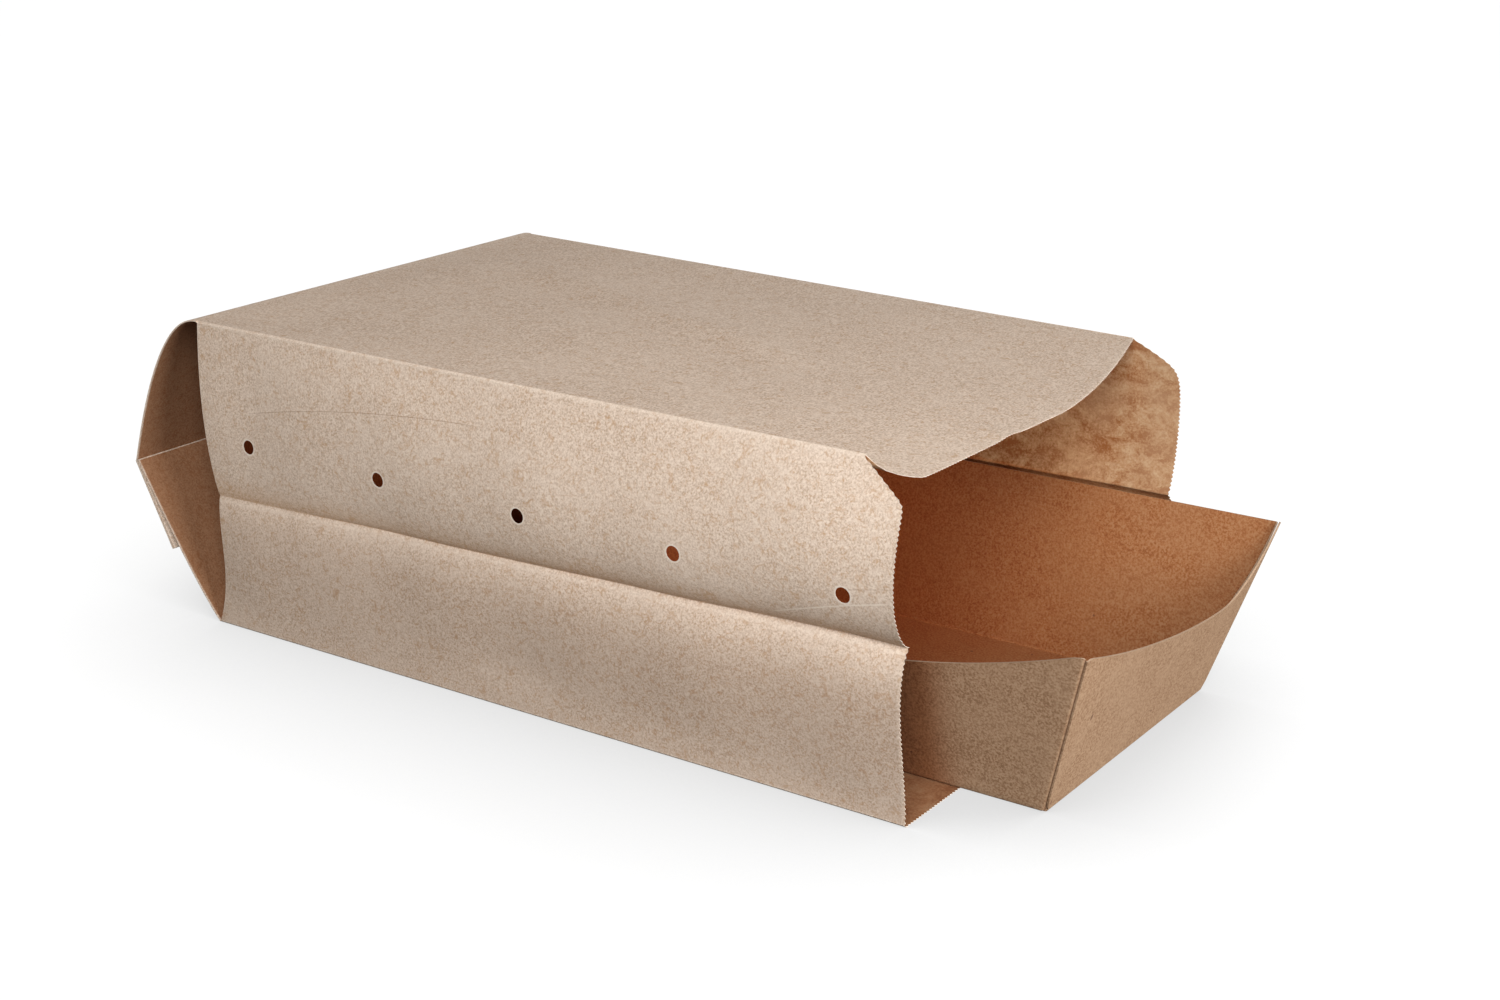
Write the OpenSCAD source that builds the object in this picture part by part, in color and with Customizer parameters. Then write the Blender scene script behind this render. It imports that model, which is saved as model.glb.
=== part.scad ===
// Perforated kraft snack bag with the board tray that it holds.
// The bag lies on its bottom panel, its closed end at -X and its mouth at +X.
// The bag is one folded and glued sheet of paper, the tray is one folded and glued blank of board.
// The origin is the centre of the bottom panel's outer face.

/* [Bag] */
// Width of the top and bottom panels
bag_w = 140; // [120:1:180]
// Height of the opened bag, twice the depth of a folded side gusset
bag_h = 87; // [70:1:100]
// Length of the bottom panel, from the closed end to the mouth
bag_l = 224; // [200:1:300]
// Thickness of the paper
paper_t = 0.1; // [0.08:0.01:0.14]
// Size of the small round along each long fold
fold_r = 0.5; // [0.4:0.05:0.8]

/* [Side gussets] */
// Height of the centre crease at the closed end
crease_low = 38.2; // [32:0.1:44]
// Rise of the centre crease on its way to the mouth
crease_rise = 6.5; // [0:0.1:10]
// Rise of the far gusset's centre crease
far_crease_rise = 4.9; // [0:0.1:10]
// How far the upper half of the near gusset swells out at the mouth
near_swell = 7.4; // [3:0.1:9]
// How far the upper half of the far gusset swells out at the mouth
far_swell = 3; // [2:0.1:9]
// How far the lower halves swell out at the mouth
low_swell = 3.4; // [1:0.1:5]
// How far all of them swell out at the closed end
end_swell = 1.5; // [0.5:0.1:3]
// How far the far gusset's crease is drawn in at the mouth
far_draw = 4; // [0:0.1:6]

/* [Mouth] */
// How far the mouth is cut back at the near top corner
lip_cut = 12.5; // [6:0.5:20]
// Height of the corner cut on the near gusset
lip_drop = 8; // [6:0.1:16]
// How far the mouth is cut back at the far top corner
far_lip_cut = 14.6; // [6:0.1:20]
// Height of the corner cut on the far gusset
far_lip_drop = 6.3; // [5:0.1:16]
// How far the top panel sags at the mouth
lip_sag = 4; // [0:0.1:5]
// How much lower the top panel's far edge is at the mouth
far_fall = 3.5; // [0:0.1:6]

/* [Closed end] */
// How far the ridge of the closed end stands out past the bottom panel
ridge_run = 29; // [24:0.5:34]
// Height of the ridge
ridge_z = 42.3; // [38:0.1:46]
// Length of the flattened end that is folded over and glued down
flap_l = 26.5; // [15:0.5:32]
// How far the end of the flap springs off the panel that it is glued to
flap_lift = 1.6; // [0.4:0.1:3]
// Air left between two layers of paper at the flattened end
layer_gap = 0.14; // [0.1:0.02:0.2]

/* [Vent holes] */
// Number of vent holes in the near gusset
vent_n = 5; // [1:1:5]
// Diameter of a vent hole
vent_d = 3.9; // [3:0.1:5]
// Distance from the bottom panel's end to the first vent hole
vent_first = 18.2; // [12:0.1:24]
// Distance from the last vent hole to the mouth
vent_last = 13.4; // [10:0.1:24]
// How far the middle hole lies off even spacing, towards the mouth
vent_shift = 1; // [-2:0.1:2]
// Height of the first vent hole
vent_z = 54.9; // [52:0.1:58]
// Rise of the row of vent holes for each millimetre along the bag
vent_rise = 0.005; // [0:0.001:0.01]

/* [Tray] */
// Length of the tray's bottom
tray_l = 130; // [100:1:150]
// Width of the tray's bottom
tray_w = 87; // [60:1:95]
// Height of the tray at its far corners
tray_h = 46; // [35:0.5:60]
// How much lower its near corners are
near_step = 1; // [0.4:0.1:4]
// How far each end wall leans out at the top
end_lean = 14; // [6:0.5:20]
// How far each long wall leans out at the top
side_lean = 11; // [4:0.5:14]
// Thickness of the board
board_t = 0.45; // [0.3:0.05:0.8]
// How far the near long wall's rim dips in the middle
side_dip = 15; // [2:0.5:20]
// How far each end wall's rim dips below the far corner
end_dip = 17.5; // [4:0.5:20]
// Place of that dip, 0 at the near corner and 1 at the far one
end_dip_at = 0.82; // [0.3:0.01:0.9]
// Length of the short flat that is left at each end of a dipped rim
corner_flat = 1.6; // [0.5:0.1:4]
// Length of the glued corner tabs inside the end walls
tab_l = 13; // [8:0.5:20]
// How far the tray sticks out past the bottom panel, along its own bottom
tray_out = 23; // [0:1:60]
// How far the tray lies off the middle of the bag
tray_side = -1.8; // [-6:0.1:6]
// Air under the tray where the board lies on the paper
seat_gap = 0.04; // [0.02:0.01:0.2]

/* [Hidden] */

paper = [0.79, 0.68, 0.57];
board = [0.66, 0.5, 0.36];

gusset = bag_h / 2;
half_w = bag_w / 2;
// Depth of two layers of paper and the air between them
pair = 2 * paper_t + layer_gap;
// Air in the slit between the two halves of a flattened gusset
slit = 0.2;

// Places across a gusset, 0 at the long fold and 1 at the centre crease.
// The stations of the closed end use the same values, so its slanted folds run through grid points.
across = [0, 0.06, 0.2, 0.35, 0.5, 0.65, 0.8, 0.93, 1];
na = len(across) - 1;
// Steps across the middle of a panel, between the two flattened gussets
nb = 6;
nt = 2 * na + nb;

// A station is a place along the bag: -1 is the mouth, 0 the end of the box-shaped body, 1 the ridge,
// 1.5 the turn over the ridge, 2 the start of the flap and 3 its end.
body_steps = [1, 0.985, 0.95, 0.88, 0.78, 0.66, 0.54, 0.42, 0.3, 0.2, 0.1, 0.04, 0];
stations = concat([for (u = body_steps) -u], [for (i = [1 : na]) across[i]], [1.5, 2, 2.5, 3]);
ridge_k = len(body_steps) + na - 1;
last_k = len(stations) - 1;

function mix(a, b, f) = a + (b - a) * f;
function unit(v) = v / norm(v);
function limit(v) = max(0, min(1, v));

// Outline of the mouth

// Along the top panel the cut is short and steep at the near corner, long and curved at the far one
near_cut_w = 5;
far_cut_w = bag_w / 2;
function lip_x(y) =
    bag_l - lip_cut * pow(1 - limit((y + half_w) / near_cut_w), 2)
    - far_lip_cut * pow(limit(1 - (half_w - y) / far_cut_w), 1.35);

// Down a gusset the cut is a slant that ends a little below the fold, in a corner of the given softness
function corner_cut(below, cut, drop, soft) =
    let (s = 1 - below / drop)
    cut * (s + sqrt(s * s + soft * soft)) / (1 + sqrt(1 + soft * soft));

function side_x(below, side) =
    bag_l - (side < 0 ? corner_cut(below, lip_cut, lip_drop, 0.12)
        : corner_cut(below, far_lip_cut, far_lip_drop, 0.45));

// Body of the bag

// Towards the mouth the top panel sinks, steeply beside the near fold and gently towards the far one
sink_w = 0.8;
function sunk(f) = (1 - pow(f, 4)) * (1 - exp(-f * bag_w / sink_w));
function top_z(u, y) =
    let (f = (y + half_w) / bag_w)
    bag_h - far_fall * u * f - lip_sag * pow(u, 4) * sunk(f);

// The crease stops rising shortly before the mouth
crease_top_u = 0.93;
function crease_z(u, side) =
    crease_low + (side < 0 ? crease_rise : far_crease_rise) * min(u, crease_top_u);

// Swell of a strip of paper from 0 to 1 across it, 1 at its fullest, which lies at a / (a + b)
function swell_form(f, a, b) = pow(f, a) * pow(1 - f, b) / (pow(a / (a + b), a) * pow(b / (a + b), b));
// Upper half of a gusset from the crease to the fold, and lower half from the bottom fold to the crease
function upper_form(v) = swell_form(v, 0.7, 1.1);
function lower_form(f) = swell_form(f, 2, 0.8);
// The end of the body is cut on a curve that runs into the body near the bottom
end_hollow = 5;
function end_x(z) = end_hollow * sin(180 * pow(1 - limit(z / bag_h), 2.2));

// The near crease stands out a little where the far one is drawn in
near_draw = -0.6;
function draw_in(u, side) = u * (side < 0 ? near_draw : far_draw);
function swell(u, side) = mix(end_swell, side < 0 ? near_swell : far_swell, u);

function body_upper(u, side, p) =
    let (fold_z = top_z(u, side * half_w) - fold_r)
    let (low_z = crease_z(u, side) + slit)
    let (v = 1 - p)
    let (z = mix(low_z, fold_z, v))
    let (out = swell(u, side) * upper_form(v) - draw_in(u, side) * p)
    [mix(end_x(z), side_x(fold_z - z, side), u), side * (half_w + out), z];

function body_lower(u, side, p) =
    let (z = mix(fold_r, crease_z(u, side), p))
    let (out = mix(end_swell, low_swell, u) * lower_form(p) - draw_in(u, side) * pow(p, 3))
    [mix(end_x(z), bag_l, u), side * (half_w + out), z];

// Closed end
// Its side view is a curve from the top panel's end to the ridge and one from the bottom panel's end

ridge = [-ridge_run, ridge_z];
// Directions at the ridge, out of the lower slope and up along it
slope_ctrl = [-0.31 * ridge_run, 0.21 * ridge_z];
slope_up = unit(ridge - slope_ctrl);
slope_out = [-slope_up[1], slope_up[0]];
crown_shoulder = 13;
crown_ctrl = [-0.71 * ridge_run, bag_h - crown_shoulder];
crown_dir = unit(ridge - crown_ctrl);
crown_end = ridge - (2 * pair + slit) * [-crown_dir[1], crown_dir[0]];

function crown(t) =
    pow(1 - t, 3) * [0, bag_h] + 3 * pow(1 - t, 2) * t * [-0.34 * ridge_run, bag_h + 1]
    + 3 * (1 - t) * t * t * crown_ctrl + pow(t, 3) * crown_end;

function slope(t) = pow(1 - t, 2) * [0, 0] + 2 * (1 - t) * t * slope_ctrl + t * t * ridge;

// Points at a depth below the outer face of the upper and the lower slope
function under_crown(t, depth) =
    let (d = unit(crown(min(1, t + 0.01)) - crown(t - 0.01)))
    crown(t) + depth * [-d[1], d[0]];

function under_slope(t, depth) =
    let (d = unit(slope(t + 0.01) - slope(t - 0.01)))
    slope(t) + depth * [d[1], -d[0]];

function place(xz, y) = [xz[0], y, xz[1]];

// The ear of a gusset lies under a slope as far in as the slanted fold.
// From there on the gusset runs across the closed end to its centre crease.
function end_gusset(t, side, p, upper) =
    let (inset = min(p, t) * gusset)
    let (start = place(upper ? under_crown(t, pair) : under_slope(t, pair), side * (half_w - inset)))
    let (mid_x = (crown(t)[0] + slope(t)[0]) / 2)
    let (mid_z = mix(crease_low, ridge_z, t) + (upper ? slit : 0))
    let (f = t < 1 ? max(0, p - t) / (1 - t) : 0)
    let (goal = [mid_x, side * (half_w - pow(t, 0.92) * gusset), mid_z])
    let (point = mix(start, goal, f))
    point + [f > 0 ? end_x(point[2]) * pow(1 - t, 2) : 0, 0, 0];

// Layers that turn over the ridge and lie on the lower slope as a flap.
// The height is counted from the face that is glued down.
function turned(c, height) =
    let (f = limit(c - 2))
    let (turn = c < 2 ? (height < pair / 2 ? 45 : height < pair + slit / 2 ? 90 : 24) : 0)
    let (dir = cos(turn) * slope_out + sin(turn) * slope_up)
    ridge + (height + layer_gap) * dir - slope_up * flap_l * f + slope_out * flap_lift * f;

// One ring of points round the bag at a station

function panel_y(j) =
    j <= na ? -half_w + across[j] * gusset
    : j >= nt - na ? half_w - across[nt - j] * gusset
    : mix(gusset - half_w, half_w - gusset, (j - na) / nb);

function edge_in(c, j) =
    let (size = c <= 0 ? fold_r : 0)
    j == 0 ? size : j == nt ? -size : 0;

function top_point(c, j) =
    let (y = panel_y(j))
    let (edge_y = y + edge_in(c, j))
    c <= 0 ? [-c * lip_x(y), edge_y, top_z(-c, y)]
    : c <= 1 ? place(crown(c), edge_y)
    : place(turned(c, 2 * pair + slit), edge_y);

function bottom_point(c, j) =
    let (y = panel_y(j) + edge_in(c, j))
    c <= 0 ? [-c * bag_l, y, 0]
    : c <= 1 ? place(slope(c), y)
    : place(turned(c, 0), y);

function upper_point(c, side, a) =
    c <= 0 ? body_upper(-c, side, across[a])
    : c <= 1 ? end_gusset(c, side, across[a], true)
    : place(turned(c, pair + slit), side * (half_w - across[a] * gusset));

function lower_point(c, side, a) =
    c <= 0 ? body_lower(-c, side, across[a])
    : c <= 1 ? end_gusset(c, side, across[a], false)
    : place(turned(c, pair), side * (half_w - across[a] * gusset));

function ring(c) = concat(
    [for (j = [0 : nt]) top_point(c, j)],
    [for (a = [0 : na]) upper_point(c, 1, a)],
    [for (a = [na : -1 : 0]) lower_point(c, 1, a)],
    [for (j = [nt : -1 : 0]) bottom_point(c, j)],
    [for (a = [0 : na]) lower_point(c, -1, a)],
    [for (a = [na : -1 : 0]) upper_point(c, -1, a)]);

outer = [for (c = stations) ring(c)];
n = len(outer[0]);

// The inner face lies one paper thickness inside, square to both faces that meet at each point
function face_normal(k, j) =
    let (along = outer[max(0, k - 1)][j] - outer[min(ridge_k, k + 1)][j])
    let (side = outer[k][(j + 1) % n] - outer[k][j])
    let (next = outer[max(0, k - 1)][(j + 1) % n] - outer[min(ridge_k, k + 1)][(j + 1) % n])
    unit(cross(along + next, side));

function inner_point(k, j) =
    let (n1 = face_normal(k, (j + n - 1) % n))
    let (n2 = face_normal(k, j))
    let (move = paper_t * (n1 + n2) / max(0.4, 1 + n1 * n2))
    outer[k][j] - [k == 0 ? 0 : move[0], move[1], move[2]];

inner = [for (k = [0 : ridge_k]) [for (j = [0 : n - 1]) inner_point(k, j)]];

// Ring indices of the points of each part, counted across a gusset from the long fold
function far_up(a) = nt + 1 + a;
function far_low(a) = nt + 2 + 2 * na - a;
function bottom(j) = 2 * nt + 3 + 2 * na - j;
function near_low(a) = 2 * nt + 4 + 2 * na + a;
function near_up(a) = 2 * nt + 5 + 4 * na - a;

// Patches that close the flattened end of a skin
cap = concat(
    [for (a = [0 : na - 1]) each [
        [a, a + 1, near_up(a + 1), near_up(a)],
        [bottom(a + 1), bottom(a), near_low(a), near_low(a + 1)],
        [nt - a - 1, nt - a, far_up(a), far_up(a + 1)],
        [far_low(a + 1), far_low(a), bottom(nt - a), bottom(nt - a - 1)]]],
    [for (j = [na : nt - na - 1]) [j, j + 1, bottom(j + 1), bottom(j)]],
    [[na, bottom(na), near_low(na), near_up(na)],
     [nt - na, far_up(na), far_low(na), bottom(nt - na)]]);

// Each patch of four points is two triangles, and the slanted folds of the gussets are their diagonals
function rising(j) = (j >= far_up(0) && j < far_low(na)) || (j >= near_low(0) && j < near_up(na));
function halves(q, cut) =
    cut ? [[q[0], q[1], q[2]], [q[0], q[2], q[3]]]
    : [[q[1], q[2], q[3]], [q[1], q[3], q[0]]];

function patch(base, k, j) =
    let (b = (j + 1) % n)
    [base + k * n + j, base + (k + 1) * n + j, base + (k + 1) * n + b, base + k * n + b];
function turned_round(q) = [q[3], q[2], q[1], q[0]];

in_base = (last_k + 1) * n;

module bag() {
    color(paper)
    translate([-bag_l / 2, 0, 0])
    difference() {
        polyhedron(
            points = concat([for (r = outer) each r], [for (r = inner) each r]),
            faces = concat(
                [for (k = [0 : last_k - 1]) for (j = [0 : n - 1])
                    each halves(patch(0, k, j), rising(j))],
                [for (k = [0 : ridge_k - 1]) for (j = [0 : n - 1])
                    each halves(turned_round(patch(in_base, k, j)), !rising(j))],
                [for (j = [0 : n - 1])
                    each halves([j, (j + 1) % n, in_base + (j + 1) % n, in_base + j], true)],
                [for (q = cap) each halves(turned_round([for (i = q) last_k * n + i]), true)],
                [for (q = cap) each halves([for (i = q) in_base + ridge_k * n + i], true)]));
        vent_holes();
    }
}

// Length of the bar that punches each vent hole, enough to pass the gusset where it swells
vent_reach = 2 * near_swell + 8;

module vent_holes() {
    for (i = [0 : vent_n - 1]) {
        f = i / max(1, vent_n - 1);
        x = mix(vent_first, bag_l - vent_last, f) + vent_shift * sin(180 * f);
        translate([x, -half_w, vent_z + vent_rise * x])
        rotate([90, 0, 0])
        cylinder(d = vent_d, h = vent_reach, center = true, $fn = 32);
    }
}

// Tray

// A block with four leaning walls, from height z1 to z2.
// Its end and long walls stand in from the tray's own outer faces by end_in and side_in.
module leaning_block(z1, z2, end_in, side_in) {
    corners = [for (z = [z1, z2]) for (s = [[-1, -1], [1, -1], [1, 1], [-1, 1]])
        [s[0] * (tray_l / 2 + end_lean * z / tray_h - end_in),
         s[1] * (tray_w / 2 + side_lean * z / tray_h - side_in), z]];
    polyhedron(points = corners, faces = [[0, 1, 2, 3], [7, 6, 5, 4],
        [0, 4, 5, 1], [1, 5, 6, 2], [2, 6, 7, 3], [3, 7, 4, 0]]);
}

// Rim heights. The near long wall's rim is an arc of a circle between its two corner flats.
// An end wall's rim falls in a long curve from the near corner and rises on a quarter ellipse to the far one.
near_h = tray_h - near_step;
end_low_h = tray_h - end_dip;
rim_l = tray_l + 2 * end_lean;
rim_w = tray_w + 2 * side_lean;
near_span = rim_l / 2 - corner_flat;
near_r = (near_span * near_span + side_dip * side_dip) / (2 * side_dip);
far_end = 1 - corner_flat / rim_w;
// The end rim's curve starts a little above the near corner, so that it cuts the corner's flat at an angle
curve_start = near_h + 0.4;

function near_rim(x) = near_h - side_dip + near_r - sqrt(near_r * near_r - x * x);
function end_rim(f) =
    f < end_dip_at ? end_low_h + (curve_start - end_low_h) * pow(1 - f / end_dip_at, 1.6)
    : end_low_h + end_dip * (1 - sqrt(max(0, 1 - pow((f - end_dip_at) / (far_end - end_dip_at), 2))));

rim_steps = 32;
over = 5;

// Everything above the near half's rim
module near_rim_cut() {
    arc = [for (i = [0 : rim_steps]) let (x = mix(-near_span, near_span, i / rim_steps)) [x, near_rim(x)]];
    rotate([90, 0, 0])
    linear_extrude(height = rim_w)
    polygon(concat([[-rim_l, tray_h + over], [-rim_l, near_h]], arc, [[rim_l, near_h], [rim_l, tray_h + over]]));
}

// Everything above one end wall's rim
module end_rim_cut() {
    long = [for (i = [0 : rim_steps]) end_dip_at * i / rim_steps];
    steep = [for (i = [1 : 12]) mix(end_dip_at, far_end, sin(90 * i / 12))];
    curve = [for (f = concat(long, steep)) [mix(-rim_w / 2, rim_w / 2, f), end_rim(f)]];
    rotate([90, 0, 90])
    linear_extrude(height = 4 * end_lean, center = true)
    polygon(concat([[-rim_w, tray_h + over], [-rim_w, curve_start]], curve,
        [[mix(-rim_w / 2, rim_w / 2, far_end), tray_h + over]]));
}

// Board thickness measured level, through each leaning wall
end_t = board_t / cos(atan(end_lean / tray_h));
side_t = board_t / cos(atan(side_lean / tray_h));

module tray() {
    color(board)
    translate([bag_l / 2 + tray_out - tray_l / 2, tray_side, paper_t + seat_gap])
    difference() {
        leaning_block(0, tray_h, 0, 0);
        tray_hollow();
        near_rim_cut();
        for (s = [-1, 1]) {
            translate([s * rim_l / 2, 0, 0])
            end_rim_cut();
        }
    }
}

// Inside of the tray, with the glued tabs left standing against the end walls
module tray_hollow() {
    difference() {
        leaning_block(board_t, tray_h + 1, end_t, side_t);
        for (s = [-1, 1]) {
            corner_tab(s);
        }
    }
}

module corner_tab(s) {
    difference() {
        translate([0, s * (tray_w / 2 - tab_l + tray_w / 2), tray_h / 2])
        cube([2 * tray_l, tray_w, 2 * tray_h], center = true);
        leaning_block(-tray_h, 2 * tray_h, 2 * end_t, -tray_w);
    }
}

bag();
tray();
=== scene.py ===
import math

import bpy
import numpy as np
from mathutils import Matrix, Vector


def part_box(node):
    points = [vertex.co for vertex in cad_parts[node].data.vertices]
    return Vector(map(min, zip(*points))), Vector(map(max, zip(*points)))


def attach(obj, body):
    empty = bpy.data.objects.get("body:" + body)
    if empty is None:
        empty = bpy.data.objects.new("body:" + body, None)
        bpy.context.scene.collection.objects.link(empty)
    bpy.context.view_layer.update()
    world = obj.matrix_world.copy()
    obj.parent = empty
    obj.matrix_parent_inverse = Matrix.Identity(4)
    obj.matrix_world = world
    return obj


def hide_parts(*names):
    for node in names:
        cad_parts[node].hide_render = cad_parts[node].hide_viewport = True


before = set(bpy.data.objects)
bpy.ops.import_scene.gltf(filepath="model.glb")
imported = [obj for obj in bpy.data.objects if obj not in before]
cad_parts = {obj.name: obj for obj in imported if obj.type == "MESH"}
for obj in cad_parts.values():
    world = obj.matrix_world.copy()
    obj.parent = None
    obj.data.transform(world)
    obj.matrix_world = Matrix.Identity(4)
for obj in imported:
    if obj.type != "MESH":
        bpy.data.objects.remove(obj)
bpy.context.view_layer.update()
print("stage: frame loaded")

# Sizes are in millimetres in the dictionaries, apart from the studio's, and in metres in the meshes.
toMetres = 0.001
bagHigh = np.array(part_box("bag")[1]) / toMetres
trayLow, trayHigh = (np.array(v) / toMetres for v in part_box("tray"))


def mix(a, b, f):
    return a + (b - a) * f


def smooth(x, low, high):
    # 0 below low, 1 above high, and 3t^2 - 2t^3 between them
    t = np.clip((x - low) / (high - low), 0, 1)
    return t * t * (3 - 2 * t)


def bump(x, centre, width):
    # bell curve exp(-d^2), where d is the distance from centre in widths
    return np.exp(-(((x - centre) / width) ** 2))


def bell(x, form):
    height, centre, width = form
    return height * bump(x, centre, width)


def unit(v):
    return v / np.maximum(np.linalg.norm(v, axis=-1, keepdims=True), 1e-12)


def addObject(name, data):
    piece = bpy.data.objects.new(name, data)
    bpy.context.scene.collection.objects.link(piece)
    return piece


def addMesh(name, points, faces, faceSlots, materials, smoothAngle, attributes=None):
    # points in millimetres, faces as an array of triangles, one material index for each face
    mesh = bpy.data.meshes.new(name)
    count = len(faces)
    mesh.vertices.add(len(points))
    mesh.vertices.foreach_set("co", (points * toMetres).astype(np.float32).ravel())
    mesh.loops.add(count * 3)
    mesh.loops.foreach_set("vertex_index", faces.astype(np.int32).ravel())
    mesh.polygons.add(count)
    mesh.polygons.foreach_set("loop_start", np.arange(count, dtype=np.int32) * 3)
    mesh.polygons.foreach_set("material_index", faceSlots.astype(np.int32))
    for material in materials:
        mesh.materials.append(material)
    for key, values in (attributes or {}).items():
        layer = mesh.attributes.new(key, "FLOAT", "POINT")
        layer.data.foreach_set("value", values.astype(np.float32))
    mesh.update()
    mesh.validate()
    mesh.polygons.foreach_set("use_smooth", np.ones(count, dtype=bool))
    mesh.set_sharp_from_angle(angle=math.radians(smoothAngle))
    return addObject(name, mesh)


def quadsToTriangles(quads, cutFirst):
    # cutFirst says for each quad whether its diagonal runs from corner 0 to corner 2
    a = np.where(cutFirst[:, None], quads[:, [0, 1, 2]], quads[:, [1, 2, 3]])
    b = np.where(cutFirst[:, None], quads[:, [0, 2, 3]], quads[:, [1, 3, 0]])
    return np.concatenate([a, b])


# Materials

# Colours are linear, and a name with "inside" is for the inner face.
paperLook = dict(
    pale=(0.80, 0.665, 0.55), middle=(0.69, 0.55, 0.44), deep=(0.53, 0.385, 0.28), fibre=(0.52, 0.31, 0.165),
    insidePale=(0.56, 0.37, 0.22), insideMiddle=(0.455, 0.246, 0.119), insideDeep=(0.30, 0.110, 0.036),
    # multiplied: painted shade deep in the bag, painted light near the mouth, painted shade on the lower
    # gusset, at the bottom edge, on the end's gussets and on other shaded parts
    insideFarShade=(0.55, 0.32, 0.20), insideLightTint=(1.35, 1.20, 1.06), insideLowShade=(1.0, 0.80, 0.64),
    insideBottomShade=(0.56, 0.56, 0.60), pocketShade=(0.42, 0.25, 0.15), shade=(0.61, 0.545, 0.50),
    # after cutEdge: a painted highlight along folds and creases, which is also the pale cut edge round the
    # vent holes, then painted shade in creases; the next line's colour is painted shade for the dark strokes
    cutEdge=(0.80, 0.68, 0.56), paleHighlightAndCut=(0.84, 0.73, 0.62), crease=(0.56, 0.30, 0.12),
    paintedStroke=(0.34, 0.185, 0.10),
    grainSize=0.5, blotchSize=2.2, cloudSize=20.0, curlSize=3.1, curlWidth=0.04, roughness=0.92,
    grainShare=0.82, panelShade=0.17, cloudShare=0.22,
    insideClumpSize=5.5, insideCloudSize=24.0, insideClumpShare=0.7, insideCloudShare=0.45,
    # the outside's curls: place of the noise, cover, colour, share of it and size
    curls=((0.11, 0.46, "fibre", 0.46, 0.9), (0.23, 0.48, "fibre", 0.46, 1.25),
           (0.37, 0.50, "pale", 0.60, 1.2), (0.53, 0.49, "fibre", 0.30, 0.7)),
    insideCurls=((0.17, 0.34), (0.41, 0.30)),
    # thin strokes on the near gusset, the dark ones painted shade of creases and the pale one a painted
    # highlight: x0, z0, x1, z1, bow and width in millimetres, then colour and share
    paintedStrokes=(((16, 63.8, 104, 75.2, 2.4, 0.18), "paintedStroke", 0.60),
           ((188, 45.8, 224, 56.8, 0.6, 0.32), "paleHighlightAndCut", 0.9),
           ((212, 57.6, 226, 60.8, 0.0, 0.22), "paintedStroke", 0.3),
           ((60, 78.6, 160, 75.0, -1.2, 0.12), "paintedStroke", 0.16)),
    # where the inside's painted light and shade change, along X or Z in millimetres
    mouthLight=(92, 108), lowFrom=(42.9, 42.3), bottomFrom=(8, 1), lightFrom=(104, 76), farFrom=(60, -40))

boardLook = dict(
    pale=(0.445, 0.290, 0.180), middle=(0.353, 0.214, 0.124), deep=(0.242, 0.133, 0.071),
    insidePale=(0.385, 0.174, 0.073), insideMiddle=(0.345, 0.127, 0.043), insideDeep=(0.247, 0.076, 0.022),
    # multiplied: painted shade deep in the bag, painted light at the mouth, painted shade at the hidden end,
    # and painted shade outside where the bag shades the wall
    insideFarShade=(1.14, 0.68, 0.40), insideMouthLight=(1.08, 1.18, 1.30), insideEndShade=(0.55, 0.50, 0.48),
    mouthShade=(0.58, 0.38, 0.26),
    # after cutEdge comes painted shadow for the gaps at the tray's corners
    cutEdge=(0.44, 0.30, 0.20), cornerShade=(0.17, 0.085, 0.045), speck=(0.12, 0.05, 0.03),
    grainSize=0.6, blotchSize=2.2, speckSize=2.4, cloudSize=13.0, roughness=0.85,
    grainShare=0.85, cloudShare=0.22, speckShare=0.8,
    # where the painted light and shade change along X in millimetres
    mouthFrom=(92, 120), farFrom=(104, 20), endFrom=(22, -15), shadeFrom=(116, 103))


axisX, axisZ = 0, 2


def setRange(node, low, high, toLow, toHigh):
    for key, number in (("From Min", low), ("From Max", high), ("To Min", toLow), ("To Max", toHigh)):
        node.inputs[key].default_value = number


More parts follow.
